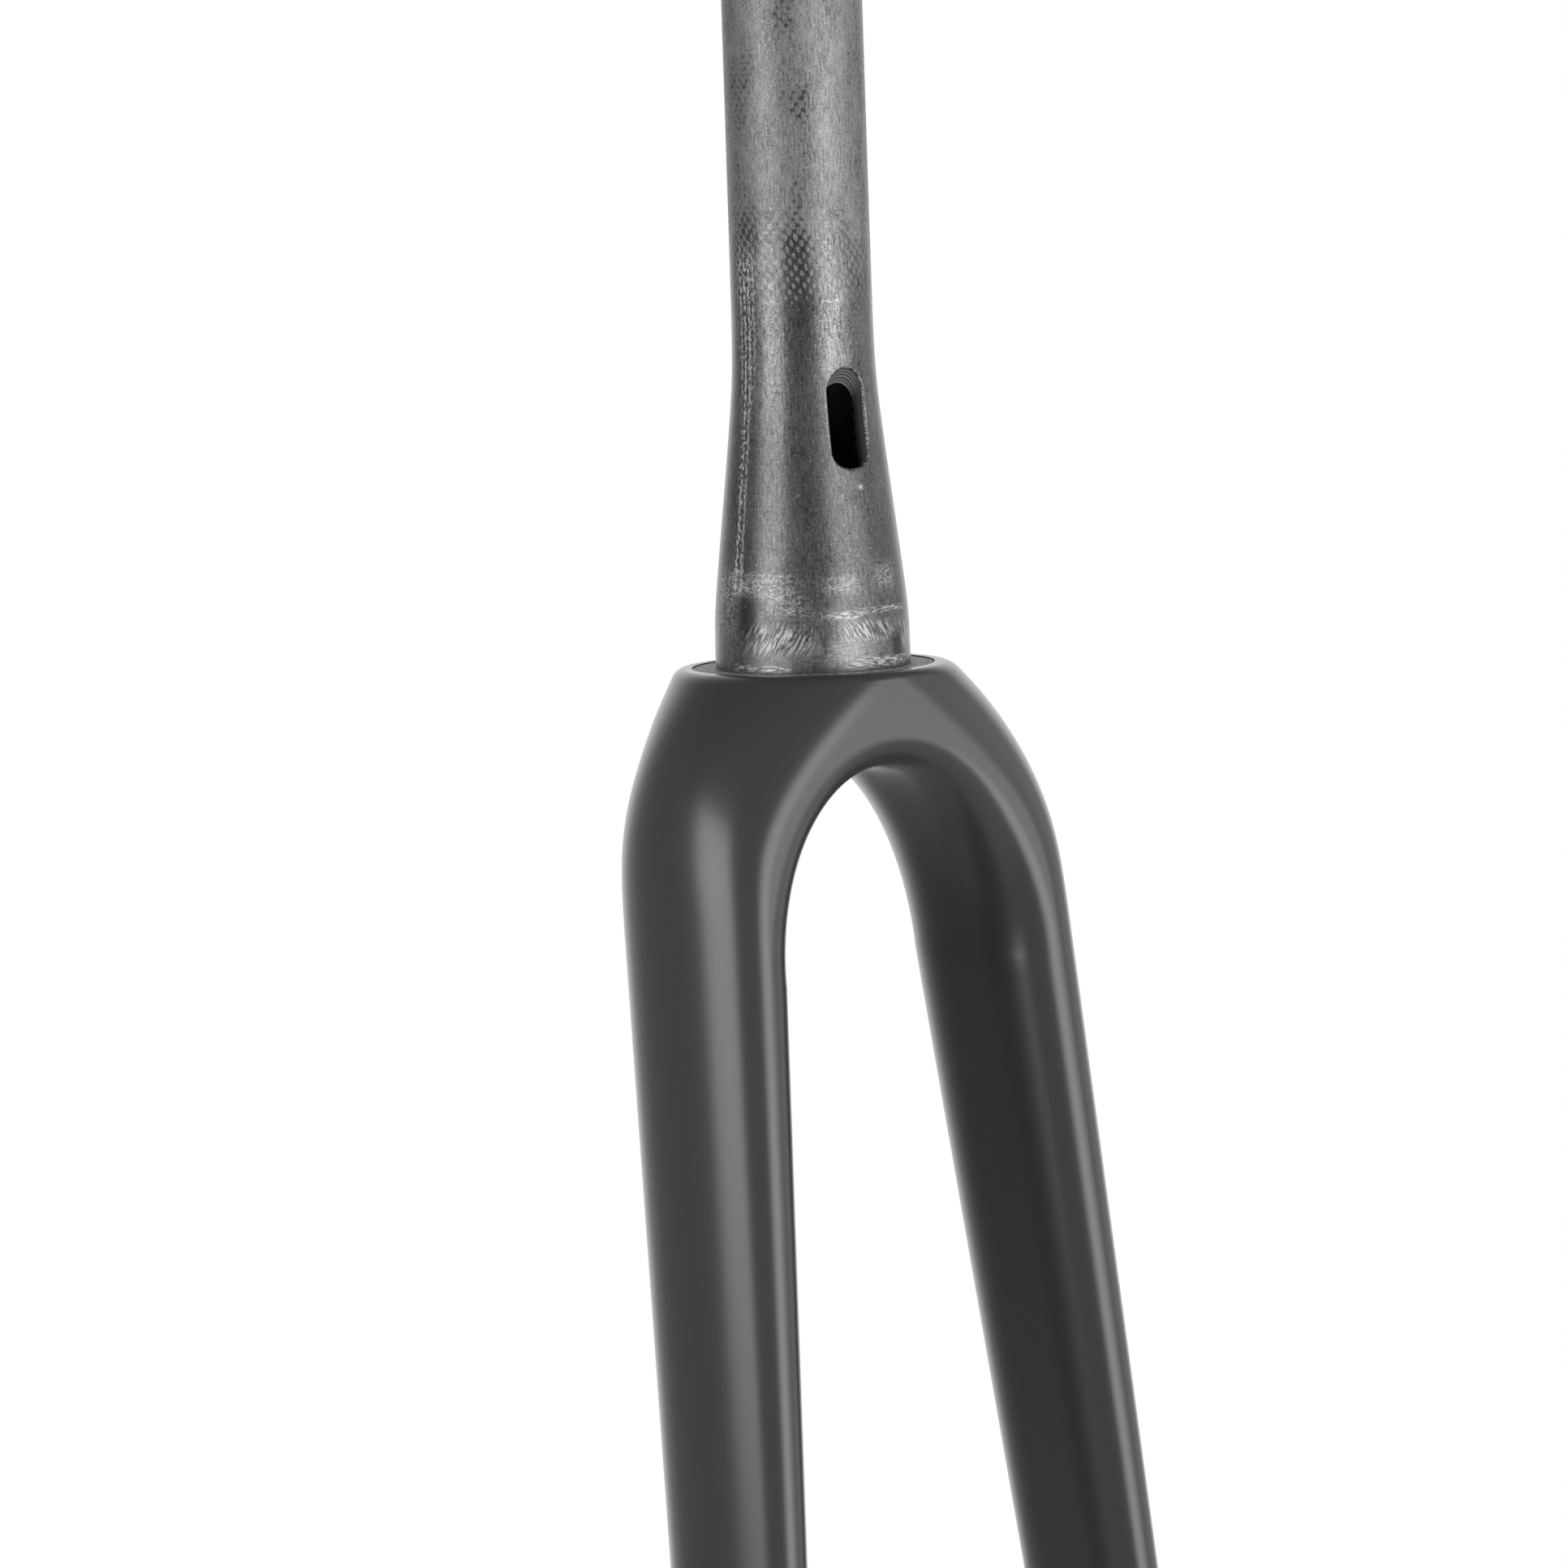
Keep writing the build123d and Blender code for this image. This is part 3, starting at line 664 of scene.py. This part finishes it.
def steererTube():
    # outside and bore are grids of rows and columns, each with a window that rings fill in up to the port;
    # the port's wall and the two end faces close the tube
    made = steerer
    low, high, portSteps = made["portRows"]
    portZ = np.linspace(low, high, portSteps)
    rows = np.unique(np.concatenate([np.linspace(*run) for run in made["rowRuns"]]))
    angles = np.linspace(-np.pi, np.pi, made["columns"] + 1)
    middle, reach = made["columns"] // 2, made["portColumns"]
    border = angles[middle - reach:middle + reach + 1]
    edgeAngle = np.concatenate([border, np.full(portSteps - 1, border[-1]), border[::-1][1:],
                                np.full(portSteps - 1, border[0])])
    edgeZ = np.concatenate([np.full(len(border), low), portZ[1:], np.full(len(border) - 1, high),
                            portZ[::-1][1:]])
    outline = portOutline(edgeAngle, edgeZ)
    first, last = np.searchsorted(rows, [low - 1e-6, high - 1e-6])
    points, faces, maps, kinds, rims, start = [], [], [], [], [], 0

    def keep(sheet, arc, z, kind, hole=False, rim=0.0):
        nonlocal start
        size = sheet.shape[:2]
        quads = gridFaces(*size)
        if hole:
            i, j = quads[:, 0] // size[1], quads[:, 0] % size[1]
            quads = quads[~((i >= first) & (i < last) & (j >= middle - reach) & (j < middle + reach))]
        points.append(sheet.reshape(-1, 3))
        faces.append(quads + start)
        maps.append(np.stack([np.broadcast_to(value, size) for value in (arc, z)], -1).reshape(-1, 2))
        kinds.append(np.full(len(quads), kind))
        rims.append(np.broadcast_to(rim, size).reshape(-1))
        start += size[0] * size[1]

    lipRings = {}
    for name, radiusAt, lip in (("outer", outerRadius, made["lip"]), ("bore", boreRadius, 0.0)):
        radius = radiusAt(rows)[:, None]
        keep(tubePoint(angles, rows[:, None], radius), angles * made["radius"], rows[:, None], 0, True)
        holeAngle, holeZ = portOn(outline, radiusAt)
        room = np.hypot((edgeAngle - holeAngle) * made["radius"], edgeZ - holeZ)
        near = np.array(made["rimRings"])[:, None] / room
        even = np.linspace(0, 1, made["outerRings"])[1:, None]
        share = np.concatenate([near, near[-1] + (1 - near[-1]) * even])
        angle = holeAngle + (edgeAngle - holeAngle) * share
        z = holeZ + (edgeZ - holeZ) * share
        left = np.clip(1 - share * room / max(lip, 1e-9), 0, 1)
        sunk = radiusAt(z) - lip * (1 - np.sqrt(1 - left ** 2))
        scratched = np.clip(steererWear["rimFull"] - share * room / steererWear["rimWidth"], 0, 1)
        rim = steererWear["rimStrength"] * scratched * (lip > 0)
        angle, z, sunk, rim = (np.concatenate([grid, grid[:, :1]], 1) for grid in (angle, z, sunk, rim))
        patch = tubePoint(angle, z, sunk)
        keep(patch, angle * made["radius"], z, 0, rim=rim)
        lipRings[name] = patch[0]
    depth = np.linspace(0, 1, made["wallSteps"])[:, None]
    wall = lipRings["outer"] * (1 - depth[..., None]) + lipRings["bore"] * depth[..., None]
    keep(wall, np.linspace(0, 1, wall.shape[1]), depth * made["wallMm"], 1)
    across = np.linspace(0, 1, made["endSteps"])[:, None]
    for z in rows[[0, -1]]:
        radius = outerRadius(z) * (1 - across) + boreRadius(z) * across
        keep(tubePoint(angles, z, radius), angles * made["radius"], across * made["wallMm"], 1)
    tubeMap = np.concatenate(maps)
    marks = wearMarks(tubeMap[:, 0], tubeMap[:, 1], np.concatenate(rims))
    return makePiece("steererTube", np.concatenate(points), np.concatenate(faces), [laminate, cutEdge],
                     np.concatenate(kinds), tubeMap, marks, made["sharpTurn"])


# Leg ends: the lower legs with their dropouts, the brake pad and the pockets for the inserts
legEnds = dict(dropoutRadius=17.6, edgeRadius=3.0, sleeveRadius=9.05, flangeRadius=11.05, flangeDepth=2.05,
               boltSpacing=70.0, lowerBolt=36.0, padWidth=18.0, padEnd=10.0, padRise=3.0, padDraft=14.0,
               padEdge=1.1, boltPocket=4.55, boltDepth=12.05, exitHeight=150.0, exitWidth=7.0,
               exitLength=13.0, exitDepth=9.0,
               # how far each cutter starts outside the surface that it cuts
               pocketPast=1.0, boltPast=2.0, exitPast=4.0,
               rows=70, faceSteps=44, edgeSteps=10, padEdgeSteps=7, padSideSteps=6, sharpTurn=28)


def rearFrame(height, rise):
    # middle of the left leg's back at a height above the axle, with the ways along the leg and to the rear
    drop = fork["axleDrop"] - height
    along = np.array([0, rakeSlope, 1]) / math.hypot(rakeSlope, 1)
    rear = np.array([0, along[2], -along[1]])
    middle = np.array([(gapSide(drop) + legLine(drop)) / 2, centreLine(drop), -drop])
    return middle + rear * (skinDepth(drop) + rise), along, rear


def turned(profile, side, steps=96):
    # profile of (distance along the axle, radius) turned about the axle
    angle = np.linspace(0, 2 * np.pi, steps + 1)
    x = side * (fork["hubHalf"] + profile[:, :1]) * np.ones_like(angle)
    y = -fork["rake"] + profile[:, 1:] * np.cos(angle)
    z = -fork["axleDrop"] + profile[:, 1:] * np.sin(angle)
    return np.stack([x, y, z], -1)


def slotStack(origin, along, rear, length, width, levels, steps=64):
    # stadium outlines, one for each level (depth forward of the origin, growth of the outline)
    angle = np.linspace(0, 2 * np.pi, steps + 1)
    straight = (length - width) / 2
    depth, growth = levels[:, :1], levels[:, 1:]
    radius = np.maximum(width / 2 + growth, 0)
    u = radius * np.cos(angle)
    v = radius * np.sin(angle) + straight * np.sign(np.round(np.sin(angle), 9)) * (radius > 0)
    return origin + u[..., None] * np.array([1, 0, 0]) + v[..., None] * along - depth[..., None] * rear


def plainSolid(name, sheets):
    points, faces = joinSheets(sheets)
    return makePiece(name, points, faces, [paint])


def legEnd(side):
    # the lower leg's skin joined to a round dropout and, on the left, to the brake pad, less the pockets
    made = legEnds
    drops = np.linspace(fork["splitDrop"], fork["axleDrop"], made["rows"])
    sheets, _ = sectionSheets(*legStations(float(side), drops), faceSteps=made["faceSteps"])
    leg = plainSolid("lowerLegRight" if side < 0 else "lowerLegLeft", sheets)
    edge, thick, big = made["edgeRadius"], fork["dropoutThickness"], made["dropoutRadius"]
    arc = np.linspace(0, np.pi / 2, made["edgeSteps"])
    rounded = edge * (1 - np.stack([np.sin(arc), np.cos(arc)], -1))
    inner, outer = rounded[::-1] * [1, -1] + [0, big], [thick, big] - rounded
    disc = plainSolid("disc", [turned(np.concatenate([[[0, 0]], inner, outer, [[thick, 0]]]), side)])
    sleeve, flange, past = made["sleeveRadius"], made["flangeRadius"], made["pocketPast"]
    seat = thick - made["flangeDepth"]
    profile = np.array([[-past, 0], [-past, sleeve], [seat, sleeve], [seat, flange], [thick + past, flange],
                        [thick + past, 0]])
    pocket = plainSolid("pocket", [turned(profile, side)])
    steps = [(disc, "UNION")]
    if side > 0:
        origin, along, rear = rearFrame(made["lowerBolt"] + made["boltSpacing"] / 2, made["padRise"])
        length = made["boltSpacing"] + 2 * made["padEnd"]
        bend = np.linspace(0, np.pi / 2, made["padEdgeSteps"])
        soft = made["padEdge"]
        levels = np.stack([soft * (1 - np.sin(bend)), -soft * (1 - np.cos(bend))], -1)[::-1]
        draft = math.tan(math.radians(made["padDraft"]))
        deepest = made["padRise"] + fork["legEndDepth"] / 3
        deep = np.linspace(soft, deepest, made["padSideSteps"])[1:, None]
        levels = np.concatenate([levels, np.concatenate([deep, -draft * (deep - soft)], 1)])
        pad = plainSolid("pad", [slotStack(origin, along, rear, length, made["padWidth"], levels)])
        steps.append((pad, "UNION"))
        hole, wide = np.array([[-made["boltPast"], 0], [made["boltDepth"], 0.0]]), 2 * made["boltPocket"]
        for end in (-1, 1):
            bolt = slotStack(origin + along * end * made["boltSpacing"] / 2, along, rear, wide, wide, hole)
            steps.append((plainSolid("bolt", [bolt]), "DIFFERENCE"))
        place, along, rear = rearFrame(made["exitHeight"], 0)
        hole = np.array([[-made["exitPast"], 0], [made["exitDepth"], 0.0]])
        slot = slotStack(place, along, rear, made["exitLength"], made["exitWidth"], hole)
        steps.append((plainSolid("exit", [slot]), "DIFFERENCE"))
    steps.append((pocket, "DIFFERENCE"))
    for other, operation in steps:
        cut = leg.modifiers.new(other.name, "BOOLEAN")
        cut.operation, cut.solver, cut.object = operation, "EXACT", other
    bpy.context.view_layer.update()
    solid = bpy.data.meshes.new_from_object(leg.evaluated_get(bpy.context.evaluated_depsgraph_get()))
    leg.modifiers.clear()
    leg.data = solid
    solid.shade_smooth()
    solid.set_sharp_from_angle(angle=math.radians(made["sharpTurn"]))
    for other, _ in steps:
        bpy.data.objects.remove(other)
    return leg


pieces = [crownAndLegs(), steererTube(), legEnd(-1), legEnd(1)]
for piece in pieces:
    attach(piece, "root")
    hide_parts("fork_body")
    print(piece.name, len(piece.data.polygons), "faces")
for node in ("axle_thread_insert", "axle_sleeve_insert", "brake_mount_inserts", "hose_exit_grommet"):
    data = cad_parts[node].data
    data.materials.clear()
    data.materials.append(rubber if node == "hose_exit_grommet" else alloy)
print("pieces made")

# Floor, light and camera
studio = dict(azimuth=-35.2875, elevation=5.8428, roll=1.8877, distance=2339.6, pixelsPerMm=6.04504,
              aimRight=-4.2191, aimUp=-28.3363, axisPixel=(982.334, 990.495), photoPixels=1932,
              sensorMm=36.0, clip=(0.05, 50.0),
              floorZ=-398.5, floorRadius=1000.0, floorFade=600.0, floorGlow=0.05, floorShow=0.5,
              floorColour="#ececec", floorRoughness=0.9, floorSteps=96, softboxAway=1400.0,
              left=dict(turn=-51.5, width=900.0, height=960.0, z=340.0, watts=14.4),
              right=dict(turn=50.4, width=1460.0, height=1300.0, z=-100.0, watts=12.8),
              core=dict(turn=46.0, width=700.0, height=1300.0, z=-100.0, watts=8.0, nearer=20.0),
              rear=dict(turn=180.0, width=2000.0, height=1500.0, z=0.0, watts=4.5),
              ambient=0.07, roomDim=0.2, roomTurn=(-0.45, -1.0),
              sides=(dict(turn=-105.0, fade=(0.3, 0.97), glow=0.3),
                     dict(turn=100.0, fade=(0.62, 0.97), glow=1.05)))
turnA, turnE, turnR = (math.radians(studio[key]) for key in ("azimuth", "elevation", "roll"))
right = np.array([math.cos(turnA), math.sin(turnA), 0])
up = np.array([-math.sin(turnA) * math.sin(turnE), math.cos(turnA) * math.sin(turnE), math.cos(turnE)])
back = np.cross(right, up)


def orient(item, place, across, upward, backward):
    matrix = np.eye(4)
    matrix[:3, 0], matrix[:3, 1], matrix[:3, 2], matrix[:3, 3] = across, upward, backward, place * mm
    item.matrix_world = Matrix(matrix.tolist())


def setCamera():
    # the fitted view: the optical axis is turned a little so that no lens shift is needed
    data = bpy.data.cameras.new("camera")
    camera = bpy.data.objects.new("camera", data)
    scene.collection.objects.link(camera)
    across = right * math.cos(turnR) - up * math.sin(turnR)
    upward = up * math.cos(turnR) + right * math.sin(turnR)
    focal = studio["pixelsPerMm"] * studio["distance"]
    half = studio["photoPixels"] / 2
    offX, offY = half - studio["axisPixel"][0], studio["axisPixel"][1] - half
    backward = back * focal - across * offX - upward * offY
    backward /= np.linalg.norm(backward)
    across = across - backward * (across @ backward)
    across /= np.linalg.norm(across)
    place = right * studio["aimRight"] + up * studio["aimUp"] + back * studio["distance"]
    orient(camera, place, across, np.cross(backward, across), backward)
    data.sensor_width = studio["sensorMm"]
    data.lens = studio["sensorMm"] * focal / studio["photoPixels"]
    data.clip_start, data.clip_end = studio["clip"]
    scene.camera = camera


level = np.array([back[0], back[1], 0]) / math.hypot(back[0], back[1])


def outward(turn):
    # level way at a turn in degrees from the camera's azimuth, to the right where it is positive
    angle = math.radians(turn)
    return level * math.cos(angle) + right * math.sin(angle)


def softbox(name, box):
    # tall soft light at a turn from the camera's azimuth, facing the steerer's axis
    data = bpy.data.lights.new(name, "AREA")
    data.shape = "RECTANGLE"
    data.size, data.size_y, data.energy = box["width"] * mm, box["height"] * mm, box["watts"]
    lamp = bpy.data.objects.new(name, data)
    scene.collection.objects.link(lamp)
    away, upward = outward(box["turn"]), np.array([0, 0, 1.0])
    place = away * (studio["softboxAway"] - box.get("nearer", 0.0)) + upward * box["z"]
    orient(lamp, place, np.cross(upward, away), upward, away)
    lamp.visible_camera = False


def seenRays(tree):
    # camera, glossy and transmission rays together, which see the white backdrop, and camera rays alone
    rays = addNode(tree, "LightPath").node.outputs
    seen = rays["Is Camera Ray"]
    for ray in ("Is Glossy Ray", "Is Transmission Ray"):
        seen = addNode(tree, "Math", {0: seen, 1: rays[ray]}, "MAXIMUM")
    return seen, rays["Is Camera Ray"]


def makeWorld():
    # white backdrop all round for the camera; reflections find the room in front of the object dimmer than
    # the backdrop, and pale walls at the sides
    world = bpy.data.worlds.new("studio")
    scene.world = world
    world.use_nodes = True
    tree = world.node_tree
    seen, camera = seenRays(tree)
    way = addNode(tree, "TexCoord").node.outputs["Generated"]
    facing = addNode(tree, "VectorMath", {0: way, 1: level.tolist()}, "DOT_PRODUCT")
    start, end = studio["roomTurn"]
    around = addNode(tree, "MapRange", {"From Min": start, "From Max": end, "To Min": studio["roomDim"],
                                        "To Max": 1.0, "Value": facing}, interpolation_type="SMOOTHSTEP")
    for wall in studio["sides"]:
        toWall = outward(wall["turn"]).tolist()
        aside = addNode(tree, "VectorMath", {0: way, 1: toWall}, "DOT_PRODUCT")
        start, end = wall["fade"]
        side = addNode(tree, "MapRange", {"From Min": start, "From Max": end, "To Max": wall["glow"],
                                          "Value": aside}, interpolation_type="SMOOTHSTEP")
        around = addNode(tree, "Math", {0: around, 1: side}, "MAXIMUM")
    white = addNode(tree, "Math", {0: around, 1: camera}, "MAXIMUM")
    strength = addNode(tree, "Mix", {"A": studio["ambient"], "B": white, "Factor": seen})
    feed(tree, tree.nodes["Background"], {"Color": (1, 1, 1, 1), "Strength": strength})


def makeFloor():
    # a disc that fades out into the white backdrop; its glow brings it near white and leaves the object's
    # shadow on it, and is fainter in reflections, as the room is
    floorPaint, tree, shader = newMaterial("pale studio floor, painted", 0.0, studio["floorRoughness"])
    seen, camera = seenRays(tree)
    reflected = addNode(tree, "Math", {0: seen, 1: studio["floorGlow"]}, "MULTIPLY")
    glow = addNode(tree, "Math", {0: camera, 1: studio["floorShow"], 2: reflected}, "MULTIPLY_ADD")
    place = addNode(tree, "TexCoord").node.outputs["Object"]
    flat = addNode(tree, "Mapping", {"Scale": (1.0, 1.0, 0.0), "Vector": place})
    radius = addNode(tree, "VectorMath", {0: flat}, "LENGTH")
    start, end = studio["floorFade"] * mm, studio["floorRadius"] * mm
    fade = addNode(tree, "MapRange", {"From Min": start, "From Max": end, "To Min": 1.0, "To Max": 0.0,
                                      "Value": radius}, interpolation_type="SMOOTHSTEP")
    feed(tree, shader, {"Base Color": linear(studio["floorColour"]), "Emission Color": (1, 1, 1, 1),
                        "Emission Strength": glow, "Alpha": fade})
    ring = np.linspace(0, 2 * np.pi, studio["floorSteps"] + 1)[:-1]
    disc = np.stack([np.cos(ring), np.sin(ring), np.zeros_like(ring)], -1) * studio["floorRadius"]
    disc = disc + [0, 0, studio["floorZ"]]
    mesh = bpy.data.meshes.new("floor")
    mesh.from_pydata((disc * mm).tolist(), [], [list(range(len(disc)))])
    mesh.materials.append(floorPaint)
    floor = bpy.data.objects.new("floor", mesh)
    scene.collection.objects.link(floor)


setCamera()
for name in ("left", "right", "core", "rear"):
    softbox("softbox" + name.capitalize(), studio[name])
makeWorld()
makeFloor()
print("camera, light and floor made")
